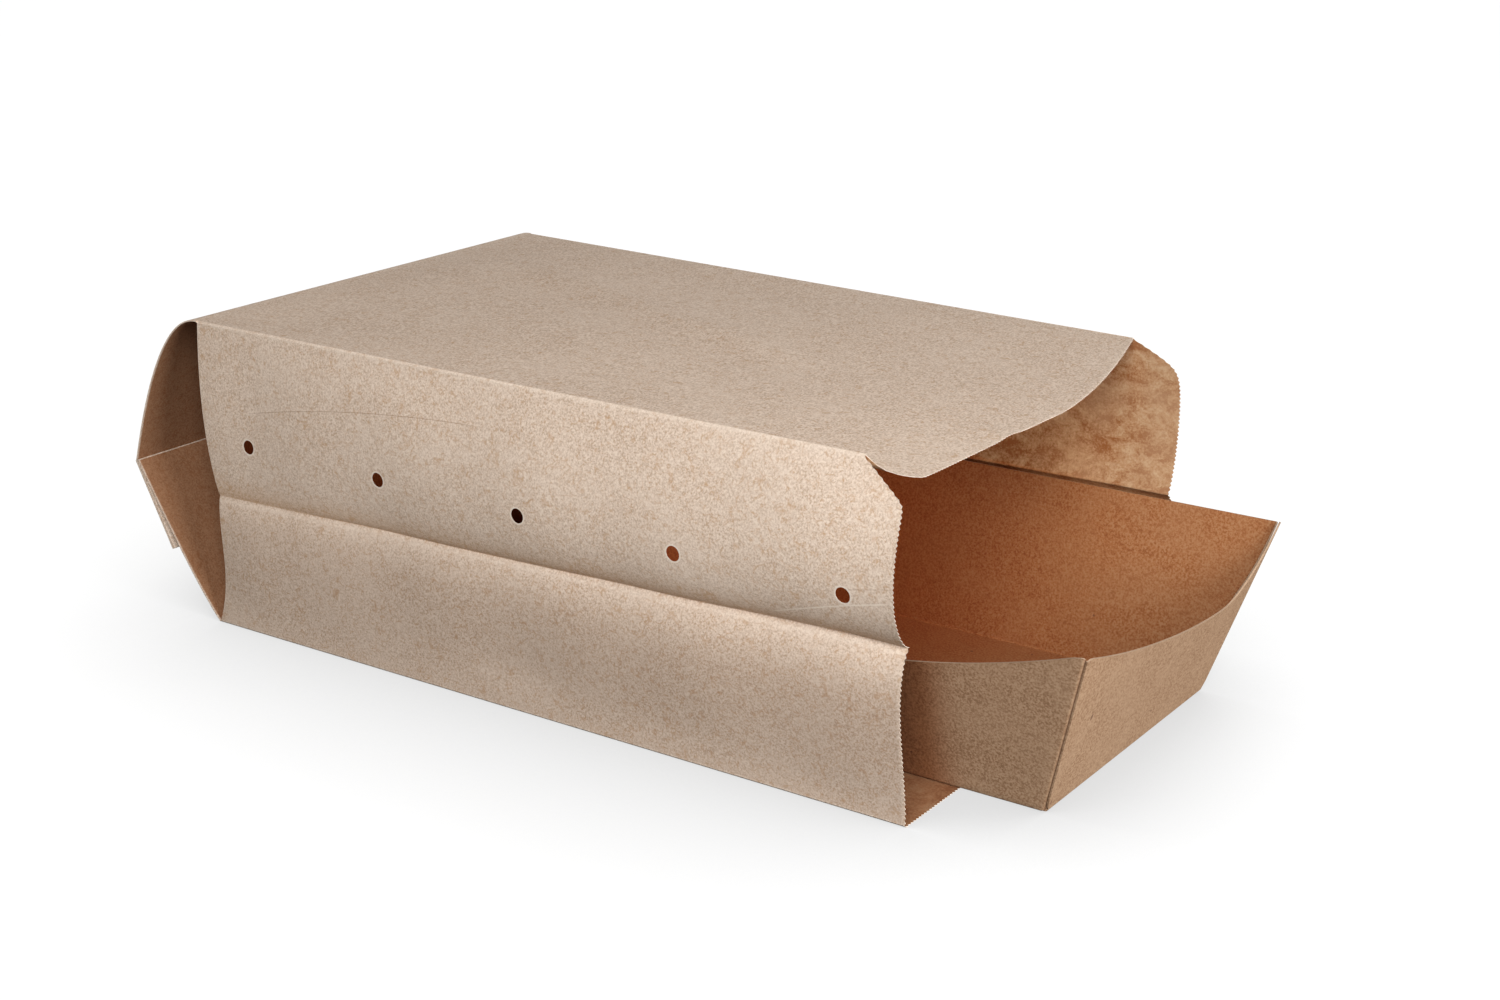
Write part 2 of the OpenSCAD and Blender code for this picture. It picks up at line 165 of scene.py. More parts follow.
class NodeSheet:
    # a material's node tree, with short calls for its nodes and links

    def __init__(self, name):
        self.material = bpy.data.materials.new(name)
        self.material.use_nodes = True
        self.tree = self.material.node_tree
        self.tree.nodes.clear()
        self.coords = self.add("ShaderNodeTexCoord").outputs["Object"]

    def add(self, kind, **settings):
        node = self.tree.nodes.new(kind)
        for key, value in settings.items():
            setattr(node, key, value)
        return node

    def feed(self, socket, value):
        if isinstance(value, bpy.types.NodeSocket):
            self.tree.links.new(value, socket)
        elif isinstance(value, tuple) and len(value) == 3 and socket.type == "RGBA":
            socket.default_value = (*value, 1)
        else:
            socket.default_value = value

    def mapped(self, stretch=(1, 1, 1), turn=(0, 0, 0), shift=(0, 0, 0)):
        mapping = self.add("ShaderNodeMapping")
        self.feed(mapping.inputs["Vector"], self.coords)
        mapping.inputs["Scale"].default_value = stretch
        mapping.inputs["Rotation"].default_value = turn
        mapping.inputs["Location"].default_value = shift
        return mapping

    def noise(self, sizeMm, detail=2.0, rough=0.55, stretch=(1, 1, 1), turn=(0, 0, 0), distort=0.0,
              shift=(0, 0, 0)):
        # values around 0.5 that change over about sizeMm
        mapping = self.mapped(stretch, turn, shift)
        node = self.add("ShaderNodeTexNoise")
        self.feed(node.inputs["Vector"], mapping.outputs["Vector"])
        node.inputs["Scale"].default_value = 1 / (sizeMm * toMetres)
        node.inputs["Detail"].default_value = detail
        node.inputs["Roughness"].default_value = rough
        node.inputs["Distortion"].default_value = distort
        return node.outputs["Fac"]

    def maths(self, operation, a, b=0.0, clamp=False):
        node = self.add("ShaderNodeMath", operation=operation, use_clamp=clamp)
        self.feed(node.inputs[0], a)
        self.feed(node.inputs[1], b)
        return node.outputs[0]

    def times(self, a, b):
        return self.maths("MULTIPLY", a, b)

    def span(self, value, low, high, toLow=0.0, toHigh=1.0):
        # toLow to toHigh as the value goes from low to high, on the curve 3t^2 - 2t^3
        node = self.add("ShaderNodeMapRange", interpolation_type="SMOOTHSTEP")
        self.feed(node.inputs["Value"], value)
        setRange(node, low, high, toLow, toHigh)
        return node.outputs["Result"]

    def blend(self, factor, a, b, mode="MIX"):
        node = self.add("ShaderNodeMix", data_type="RGBA", blend_type=mode)
        self.feed(node.inputs[0], factor)
        self.feed(node.inputs[6], a)
        self.feed(node.inputs[7], b)
        return node.outputs[2]

    def sum(self, a, b, shareA=None, shareB=None):
        # a times its share plus b times its share
        if shareA is not None:
            a = self.times(a, shareA)
        if shareB is not None:
            b = self.times(b, shareB)
        return self.maths("ADD", a, b)

    def along(self, axis, ends, most=1.0):
        # 0 to most as X, Y or Z (axis 0, 1 or 2) goes from the first end to the second, in millimetres
        parts = self.add("ShaderNodeSeparateXYZ")
        self.feed(parts.inputs[0], self.coords)
        return self.span(parts.outputs[axis], ends[0] * toMetres, ends[1] * toMetres, 0.0, most)

    def multiplied(self, axis, ends, colour, tint):
        # colour, multiplied by the tint more and more along an axis
        return self.blend(self.along(axis, ends), colour, tint, "MULTIPLY")

    def attribute(self, name):
        return self.add("ShaderNodeAttribute", attribute_name=name).outputs["Fac"]

    def finish(self, colour, roughness, height=None, depthMm=0.05, strength=0.5):
        shader = self.add("ShaderNodeBsdfPrincipled")
        self.feed(shader.inputs["Base Color"], colour)
        shader.inputs["Roughness"].default_value = roughness
        shader.inputs["Specular IOR Level"].default_value = 0.25
        if height is not None:
            relief = self.add("ShaderNodeBump")
            relief.inputs["Strength"].default_value = strength
            relief.inputs["Distance"].default_value = depthMm * toMetres
            self.feed(relief.inputs["Height"], height)
            self.feed(shader.inputs["Normal"], relief.outputs["Normal"])
        output = self.add("ShaderNodeOutputMaterial")
        self.feed(output.inputs["Surface"], shader.outputs["BSDF"])
        return self.material


def curls(sheet, size, width, seed, cover):
    # short curly hairs: thin contour lines of a noise, broken up by a second noise
    field = sheet.noise(size, 1.0, 0.5, distort=0.9, shift=(seed, 2 * seed, 3 * seed))
    line = sheet.span(sheet.maths("ABSOLUTE", sheet.maths("SUBTRACT", field, 0.5)), 0.0, width, 1.0, 0.0)
    breaks = sheet.noise(size * 0.8, 1.0, 0.5, shift=(3 * seed, seed, 5 * seed))
    return sheet.times(line, sheet.span(breaks, cover, cover + 0.08))


def stroke(sheet, x0, z0, x1, z1, bow, width):
    # a thin mark on the near side, from (x0, z0) to (x1, z1): with t from 0 to 1 between them its height is
    # z0 + (z1 - z0) t + 4 bow t (1 - t), and it fades out over a tenth of its length at each end
    parts = sheet.add("ShaderNodeSeparateXYZ")
    sheet.feed(parts.inputs[0], sheet.coords)
    x, y, z = parts.outputs
    along = sheet.maths("DIVIDE", sheet.maths("SUBTRACT", x, x0 * toMetres), (x1 - x0) * toMetres)
    arch = sheet.times(along, sheet.maths("SUBTRACT", 1.0, along))
    centre = sheet.sum(along, arch, (z1 - z0) * toMetres, 4 * bow * toMetres)
    above = sheet.maths("SUBTRACT", sheet.maths("SUBTRACT", z, centre), z0 * toMetres)
    away = sheet.maths("ABSOLUTE", above)
    line = sheet.span(away, 0.0, width * toMetres, 1.0, 0.0)
    ends = sheet.times(sheet.span(along, 0.0, 0.1), sheet.span(along, 1.0, 0.9))
    near = sheet.span(y, (15 - halfWidth) * toMetres, (10 - halfWidth) * toMetres)
    return sheet.times(sheet.times(line, ends), near)


def ventRims(sheet):
    # nearness to the closest vent hole, measured along X and Z only, so with Y squeezed flat
    squeeze = 0.04
    flat = sheet.mapped((1, squeeze, 1))
    nearest = None
    for x, z in ventPlaces():
        away = sheet.add("ShaderNodeVectorMath", operation="DISTANCE")
        sheet.feed(away.inputs[0], flat.outputs["Vector"])
        centreY = -squeeze * (halfWidth + 4)
        away.inputs[1].default_value = ((x + bagEnd) * toMetres, centreY * toMetres, z * toMetres)
        distance = away.outputs["Value"]
        nearest = distance if nearest is None else sheet.maths("MINIMUM", nearest, distance)
    radius = bag["ventDiameter"] / 2
    return sheet.span(nearest, (radius + 0.25) * toMetres, (radius + 0.6) * toMetres, 0.8, 0.0)


# grain in three tones, clouds, curly fibres, and thin strokes of painted crease shade and painted highlight;
# then painted highlights along folds, painted shade at creases, painted shade on the lower gussets, the
# panels and the end's gussets, and pale rings round the vent holes
def kraftOutside():
    # grain in three tones, clouds, curly fibres and marks; then the lines at folds and creases, and shades
    look = paperLook
    sheet = NodeSheet("kraftPaperOutside")
    grain = sheet.noise(look["grainSize"], 2.0, 0.65)
    blotch = sheet.noise(look["blotchSize"], 3.0, 0.6, distort=0.8)
    clouds = sheet.noise(look["cloudSize"], 2.0, 0.5)
    tone = sheet.sum(grain, blotch, look["grainShare"], 1 - look["grainShare"])
    # the top and bottom panels get grain that is longer across, with more contrast
    wide = sheet.noise(look["grainSize"], 2.0, 0.65, (1, 0.5, 1), shift=(0.7, 0.2, 0.1))
    wide = sheet.maths("SUBTRACT", wide, 0.5)
    tone = sheet.sum(tone, sheet.times(wide, sheet.attribute("panel")))
    colour = sheet.blend(sheet.span(tone, 0.37, 0.50), look["deep"], look["middle"])
    colour = sheet.blend(sheet.span(tone, 0.50, 0.62), colour, look["pale"])
    colour = sheet.blend(sheet.span(clouds, 0.38, 0.66, 0.0, look["cloudShare"]), colour, look["pale"])
    for seed, cover, kind, amount, size in look["curls"]:
        hairs = curls(sheet, look["curlSize"] * size, look["curlWidth"], seed, cover)
        colour = sheet.blend(sheet.times(hairs, amount), colour, look[kind])
    # painted strokes: the dark ones are painted shade of creases, the pale one a painted highlight
    for (x0, z0, x1, z1, bow, width), kind, amount in look["paintedStrokes"]:
        paintedStroke = stroke(sheet, x0 + bagEnd, z0, x1 + bagEnd, z1, bow, width)
        colour = sheet.blend(sheet.times(paintedStroke, amount), colour, look[kind])
    # painted highlight along folds and below creases
    colour = sheet.blend(sheet.attribute("foldHighlightLine"), colour, look["paleHighlightAndCut"])
    # painted shade above each crease
    colour = sheet.blend(sheet.attribute("creaseLine"), colour, look["crease"])
    # painted shade on the lower gussets and, weaker, on the panels
    shade = sheet.sum(sheet.attribute("shade"), sheet.attribute("panel"), None, look["panelShade"])
    colour = sheet.blend(shade, colour, look["shade"], "MULTIPLY")
    # painted shade on the closed end's gussets
    colour = sheet.blend(sheet.attribute("pocketShade"), colour, look["pocketShade"], "MULTIPLY")
    # pale rings for the cut edges round the vent holes
    colour = sheet.blend(ventRims(sheet), colour, look["paleHighlightAndCut"])
    height = sheet.sum(grain, blotch, 0.5)
    return sheet.finish(colour, look["roughness"], height, 0.10, 0.40)


def kraftInside():
    # coarser clumps in three redder tones, with painted light (paler at the mouth and lighter from a little
    # way in) and painted shade low down, at the bottom and deeper in
    look = paperLook
    sheet = NodeSheet("kraftPaperInside")
    grain = sheet.noise(look["grainSize"] * 1.3, 2.0, 0.65)
    clumps = sheet.noise(look["insideClumpSize"], 6.0, 0.74, (0.7, 1.0, 1.2), (0.2, 0.5, 0.3), 0.5)
    clouds = sheet.noise(look["insideCloudSize"], 2.0, 0.5)
    tone = sheet.sum(clumps, grain, look["insideClumpShare"], 1 - look["insideClumpShare"])
    colour = sheet.blend(sheet.span(tone, 0.40, 0.53), look["insideDeep"], look["insideMiddle"])
    colour = sheet.blend(sheet.span(tone, 0.50, 0.63), colour, look["insidePale"])
    colour = sheet.blend(sheet.span(clouds, 0.45, 0.68, 0.0, look["insideCloudShare"]), colour,
                         look["insidePale"])
    for seed, amount in look["insideCurls"]:
        hairs = curls(sheet, look["curlSize"], look["curlWidth"], seed, 0.50)
        colour = sheet.blend(sheet.times(hairs, amount), colour, look["insideDeep"])
    # painted light: paler towards the mouth
    colour = sheet.blend(sheet.along(axisX, look["mouthLight"], 0.25), colour, look["insidePale"])
    # painted shade low down and at the bottom, painted light from a little way in, painted shade deep in
    for axis, ends, tint in ((axisZ, "lowFrom", "insideLowShade"), (axisZ, "bottomFrom", "insideBottomShade"),
                             (axisX, "lightFrom", "insideLightTint"), (axisX, "farFrom", "insideFarShade")):
        colour = sheet.multiplied(axis, look[ends], colour, look[tint])
    return sheet.finish(colour, look["roughness"], tone, 0.12, 0.45)


def plainEdge(name, colour):
    # a cut edge: its colour with flecks at 0.82 of it
    sheet = NodeSheet(name)
    fleck = sheet.noise(0.5, 2.0, 0.6)
    dark = tuple(0.82 * c for c in colour)
    return sheet.finish(sheet.blend(sheet.span(fleck, 0.4, 0.6), dark, colour), 0.95)


def kraftBoard(name, pale, middle, deep, far=None):
    # grain in three tones with dark specks; the inside has painted light at the mouth and painted shade for
    # its far part and hidden end, the outside has painted shade where the bag shades it, and both take a
    # painted shadow at the corners
    look = boardLook
    sheet = NodeSheet(name)
    grain = sheet.noise(look["grainSize"], 3.0, 0.7)
    blotch = sheet.noise(look["blotchSize"], 3.0, 0.6, distort=0.6)
    clouds = sheet.noise(look["cloudSize"], 2.0, 0.5, distort=0.5)
    specks = sheet.noise(look["speckSize"], 0.0, 0.5)
    tone = sheet.sum(grain, blotch, look["grainShare"], 1 - look["grainShare"])
    colour = sheet.blend(sheet.span(tone, 0.38, 0.52), deep, middle)
    colour = sheet.blend(sheet.span(tone, 0.48, 0.62), colour, pale)
    colour = sheet.blend(sheet.span(clouds, 0.40, 0.65, 0.0, look["cloudShare"]), colour, pale)
    colour = sheet.blend(sheet.span(specks, 0.145, 0.11, 0.0, look["speckShare"]), colour, look["speck"])
    if far:
        # painted light at the mouth, painted shade deep in and at the hidden end
        colour = sheet.multiplied(axisX, look["mouthFrom"], colour, look["insideMouthLight"])
        colour = sheet.multiplied(axisX, look["farFrom"], colour, far)
        colour = sheet.multiplied(axisX, look["endFrom"], colour, look["insideEndShade"])
    else:
        colour = sheet.multiplied(axisX, look["shadeFrom"], colour, look["mouthShade"])
    # painted shadow in the gap at each corner
    colour = sheet.blend(sheet.attribute("cornerShade"), colour, look["cornerShade"])
    return sheet.finish(colour, look["roughness"], tone, 0.05, 0.35)


# The bag

bag = dict(
    width=140.0, height=float(bagHigh[2]), length=224.0, paper=0.1, foldRound=0.5,
    creaseLow=38.2, creaseRise=6.5, farCreaseRise=4.9, creaseTop=0.93,
    nearSwell=7.4, farSwell=3.0, lowSwell=3.4, endSwell=1.5, nearDraw=-0.6, farDraw=4.0, endHollow=5.0,
    lipCut=12.5, lipDrop=8.0, lipSoft=0.12, farLipCut=14.6, farLipDrop=6.3, farLipSoft=0.45,
    lipSag=4.0, farFall=3.5, nearCutWidth=5.0, sinkWidth=0.8,
    ridgeRun=29.0, ridgeZ=42.3, crownShoulder=13.0, flapLength=26.5, flapLift=1.6, layerGap=0.14, slit=0.2,
    # control points of the closed end's two curves, as shares of ridgeRun and ridgeZ, and one rise
    crownStart=0.34, crownRise=1.0, crownRun=0.71, slopeRun=0.31, slopeRise=0.21,
    # the flap's outer layers turn 46 degrees round the ridge, its inner ones half a circle
    outerTurn=46, innerTurn=180,
    acrossSteps=34, middleSteps=26, toothPitch=1.2, toothDepth=0.42, toothBand=1.1,
    ventCount=5, ventDiameter=3.9, ventFirst=18.2, ventLast=13.4, ventShift=1.0, ventZ=54.9, ventRise=0.005,
    ventSteps=40, ventOut=16, ventIn=8,
    # waves of handled paper: height, length along X, length along Y or Z, start
    topWaves=((0.30, 31, 47, 0), (0.20, 17, -23, 1.3), (0.26, 71, 19, 0.4)), topWaveShare=0.7,
    sideWaves=((0.30, 26, 15, 0), (0.20, 11, -13, 2.1), (0.10, 6.5, 30, 0)),
    # the slanting ridge on top, the dent beside it and the wave of the lip: height, place, width
    ridgeForm=(1.0, 0, 6.5), dentForm=(-0.5, -13, 9), ridgeAt=6.5, ridgeSlant=0.33, lipForm=(0.5, -26, 4.5),
    # painted lines as share, place and width: painted highlights along folds and below a centre crease,
    # painted shade above it (dark, thin and wide)
    foldHighlight=(0.22, 0, 0.5), lowHighlight=(0.35, 0, 0.6), creaseMark=(0.45, 0, 0.8), creaseShade=(0.44, 0, 4.5),
    # painted shade on the end's gussets, the panels' share of grain and painted shade, painted shade on the
    # lower gussets
    earShade=0.98, panelGrainAndShade=0.75, gussetShade=0.50)
bagEnd = -bag["length"] / 2
gusset = bag["height"] / 2
halfWidth = bag["width"] / 2
pairDepth = 2 * bag["paper"] + bag["layerGap"]


def lipX(y):
    # bottom length less two cuts: a short steep one at the near corner, a long curved one at the far corner
    near = (1 - np.clip((y + halfWidth) / bag["nearCutWidth"], 0, 1)) ** 2
    far = np.clip(1 - (halfWidth - y) / halfWidth, 0, 1) ** 1.35
    return bag["length"] - bag["lipCut"] * near - bag["farLipCut"] * far


def cornerCut(below, cut, drop, soft):
    # a slant from the fold down to drop below it, ending in a corner of the given softness
    s = 1 - below / drop
    return cut * (s + np.sqrt(s * s + soft * soft)) / (1 + math.sqrt(1 + soft * soft))


def sideX(below, side):
    if side < 0:
        return bag["length"] - cornerCut(below, bag["lipCut"], bag["lipDrop"], bag["lipSoft"])
    return bag["length"] - cornerCut(below, bag["farLipCut"], bag["farLipDrop"], bag["farLipSoft"])


def topZ(u, y):
    # towards the mouth the panel sinks, steeply beside the near fold and gently towards the far one
    f = np.clip((y + halfWidth) / bag["width"], 0, 1)
    sunk = (1 - f ** 4) * (1 - np.exp(-f * bag["width"] / bag["sinkWidth"]))
    return bag["height"] - bag["farFall"] * u * f - bag["lipSag"] * u ** 4 * sunk


def creaseZ(u, side):
    rise = bag["creaseRise"] if side < 0 else bag["farCreaseRise"]
    return bag["creaseLow"] + rise * np.minimum(u, bag["creaseTop"])


def swellForm(f, a, b):
    # f^a (1 - f)^b, scaled to 1 at its fullest
    f = np.clip(f, 0, 1)
    return f ** a * (1 - f) ** b / ((a / (a + b)) ** a * (b / (a + b)) ** b)


def endX(z):
    # the body's end is cut on a curve that runs into it near the bottom
    return bag["endHollow"] * np.sin(math.pi * (1 - np.clip(z / bag["height"], 0, 1)) ** 2.2)


def drawIn(u, side):
    return u * (bag["nearDraw"] if side < 0 else bag["farDraw"])


def bodyUpper(u, side, p):
    foldZ = topZ(u, side * halfWidth) - bag["foldRound"]
    z = mix(creaseZ(u, side) + bag["slit"], foldZ, 1 - p)
    swell = mix(bag["endSwell"], bag["nearSwell"] if side < 0 else bag["farSwell"], u)
    out = swell * swellForm(1 - p, 0.7, 1.1) - drawIn(u, side) * p
    return np.stack([mix(endX(z), sideX(foldZ - z, side), u), side * (halfWidth + out), z + 0 * u], -1)


def bodyLower(u, side, p):
    z = mix(bag["foldRound"], creaseZ(u, side), p)
    out = mix(bag["endSwell"], bag["lowSwell"], u) * swellForm(p, 2, 0.8) - drawIn(u, side) * p ** 3
    return np.stack([mix(endX(z), bag["length"], u), side * (halfWidth + out), z], -1)


def insideFolds(y):
    # a panel ends the fold's radius before the gusset
    return y + np.where(y <= -halfWidth, bag["foldRound"], np.where(y >= halfWidth, -bag["foldRound"], 0))


def bodyTop(u, y):
    return np.stack(np.broadcast_arrays(u * lipX(y), insideFolds(y), topZ(u, y)), -1)


def bodyBottom(u, y):
    return np.stack(np.broadcast_arrays(u * bag["length"], insideFolds(y), 0 * u), -1)


# Side view of the closed end: a cubic curve from the top panel to the ridge, and a quadratic one from the
# bottom panel to it
ridge = np.array([-bag["ridgeRun"], bag["ridgeZ"]])
slopeControl = np.array([-bag["slopeRun"] * bag["ridgeRun"], bag["slopeRise"] * bag["ridgeZ"]])
slopeUp = unit(ridge - slopeControl)
slopeOut = np.array([-slopeUp[1], slopeUp[0]])
crownStart = np.array([-bag["crownStart"] * bag["ridgeRun"], bag["height"] + bag["crownRise"]])
crownControl = np.array([-bag["crownRun"] * bag["ridgeRun"], bag["height"] - bag["crownShoulder"]])
crownDir = unit(ridge - crownControl)
crownEnd = ridge - (2 * pairDepth + bag["slit"]) * np.array([-crownDir[1], crownDir[0]])


def crown(t):
    # (1-t)^3 A + 3 (1-t)^2 t B + 3 (1-t) t^2 C + t^3 D
    t = np.asarray(t)[..., None]
    return ((1 - t) ** 3 * np.array([0, bag["height"]])
            + 3 * (1 - t) ** 2 * t * crownStart
            + 3 * (1 - t) * t * t * crownControl + t ** 3 * crownEnd)


def slope(t):
    # 2 (1-t) t B + t^2 C, starting at the bottom panel's end
    t = np.asarray(t)[..., None]
    return 2 * (1 - t) * t * slopeControl + t * t * ridge


def under(curve, t, depth, sign):
    # a point at a depth below the curve, square to it
    d = unit(curve(np.minimum(t + 0.01, 1.01)) - curve(t - 0.01))
    return curve(t) + depth * sign * np.stack([-d[..., 1], d[..., 0]], -1)


def place(xz, y):
    x, z, y = np.broadcast_arrays(xz[..., 0], xz[..., 1], y)
    return np.stack([x, y, z], -1)


def endGusset(t, side, p, upper):
    # an ear under the slope as far in as the slanted fold, then straight across to the centre crease
    inset = np.minimum(p, t) * gusset
    start = place(under(crown, t, pairDepth, 1) if upper else under(slope, t, pairDepth, -1),
                  side * (halfWidth - inset))
    midX = (crown(t)[..., 0] + slope(t)[..., 0]) / 2
    midZ = mix(bag["creaseLow"], bag["ridgeZ"], t) + (bag["slit"] if upper else 0)
    goal = place(np.stack([midX, midZ], -1), side * (halfWidth - t ** 0.92 * gusset))
    f = (np.maximum(0, p - t) / np.maximum(1 - t, 1e-6))[..., None]
    point = mix(start, goal, f)
    point[..., 0] += np.where(f[..., 0] > 0, endX(point[..., 2]) * (1 - t) ** 2, 0)
    return point


def turned(c, height, turn):
    # layers go round the ridge on arcs, then lie on the lower slope as a flap that springs off at its end
    f = np.clip(c - 2, 0, 1)
    angle = np.radians(turn) * np.clip(2 - c, 0, 1)
    direction = np.cos(angle)[..., None] * slopeOut + np.sin(angle)[..., None] * slopeUp
    along = f[..., None] * (slopeOut * bag["flapLift"] - slopeUp * bag["flapLength"])
    return ridge + (height + bag["layerGap"]) * direction + along


def acrossList(steps):
    # even steps mixed with cosine steps, so that points lie close at the fold and at the crease
    k = np.arange(steps + 1) / steps
    return 0.4 * k + 0.6 * (1 - np.cos(math.pi * k)) / 2


def panelList(across, steps):
    # places over a panel: the same steps as a gusset's at each side, even ones in the middle
    middle = np.linspace(gusset - halfWidth, halfWidth - gusset, steps + 1)[1:-1]
    return np.concatenate([across * gusset - halfWidth, middle, (halfWidth - across * gusset)[::-1]])


def bodyRing(u, y, p):
    q = p[::-1]
    return np.concatenate([
        bodyTop(u, y), bodyUpper(u, 1, p), bodyLower(u, 1, q),
        bodyBottom(u, y[::-1]), bodyLower(u, -1, p), bodyUpper(u, -1, q)], axis=1)


def endRing(t, y, p):
    q = p[::-1]
    return np.concatenate([
        place(crown(t), y), endGusset(t, 1, p, True), endGusset(t, 1, q, False),
        place(slope(t), y[::-1]), endGusset(t, -1, p, False), endGusset(t, -1, q, True)], axis=1)


def flapRing(c, y, p):
    insetY = halfWidth - p * gusset
    top = turned(c, 2 * pairDepth + bag["slit"], bag["outerTurn"])
    high = turned(c, pairDepth + bag["slit"], bag["outerTurn"])
    low = turned(c, pairDepth, bag["innerTurn"])
    base = turned(c, 0.0, bag["innerTurn"])
    return np.concatenate([
        place(top, y), place(high, insetY), place(low, insetY[::-1]),
        place(base, y[::-1]), place(low, -insetY), place(high, -insetY[::-1])], axis=1)


def ringPlaces(y, p):
    # distance round the flat tube of each point of a ring
    up = p * gusset
    start = bag["width"]
    bottom = start + 2 * gusset
    parts = [y + halfWidth, start + up, bottom - up[::-1],
             bottom + y + halfWidth, start + bottom + up, 2 * bottom - up[::-1]]
    return np.concatenate([part + 0.3 * k for k, part in enumerate(parts)])


def waves(rows, x, other):
    # sum of height sin(x / length + other / second length + start)
    return sum(height * np.sin(x / a + other / b + start) for height, a, b, start in rows)


def softForm(points, u):
    # gentle dents and ripples of handled paper, as sums of bells and sines, which fade out at the folds
    # and at the closed end
    x, y, z = points[..., 0], points[..., 1], points[..., 2]
    atEnd = smooth(x, 0.5, 22)
    onTop = smooth(z, 72, 80) * smooth(halfWidth - np.abs(y), 0.5, 16) * atEnd
    ripple = waves(bag["topWaves"], x, y)
    # a low ridge runs slantwise over the top panel, with a shallow dent beside it
    across = y - bag["ridgeAt"] + bag["ridgeSlant"] * (x + bagEnd)
    ridgeLine = bell(across, bag["ridgeForm"]) + bell(across, bag["dentForm"])
    ridgeLine = ridgeLine * smooth(x, 14, 55) * (1 - smooth(x, 125, 165))
    lipWave = bell(y, bag["lipForm"]) * smooth(u, 0.93, 1)
    points[..., 2] += onTop * (ripple * bag["topWaveShare"] + ridgeLine + lipWave)
    onSide = (smooth(np.abs(y), halfWidth - 5, halfWidth - 0.8) * smooth(z, 3, 14)
              * smooth(bag["height"] - z, 1, 12) * atEnd)
    points[..., 1] += np.sign(y) * onSide * waves(bag["sideWaves"], x, z)
    return points


def zip2(fineAt, coarseAt, fineIndex, coarseIndex):
    # triangles between two rings: each step of one ring meets the last point passed on the other
    fineNext, coarseNext = np.roll(fineIndex, -1), np.roll(coarseIndex, -1)
    fineEnd = np.append(fineAt[1:], np.inf)
    coarseEnd = np.append(coarseAt[1:], np.inf)
    atFine = np.searchsorted(coarseAt, fineEnd, side="right") - 1
    atFine[-1] = 0
    atCoarse = np.searchsorted(fineAt, coarseEnd, side="left") - 1
    fine = np.stack([fineIndex, fineNext, coarseIndex[atFine]], -1)
    coarse = np.stack([coarseNext, coarseIndex, fineIndex[atCoarse]], -1)
    return fine, coarse


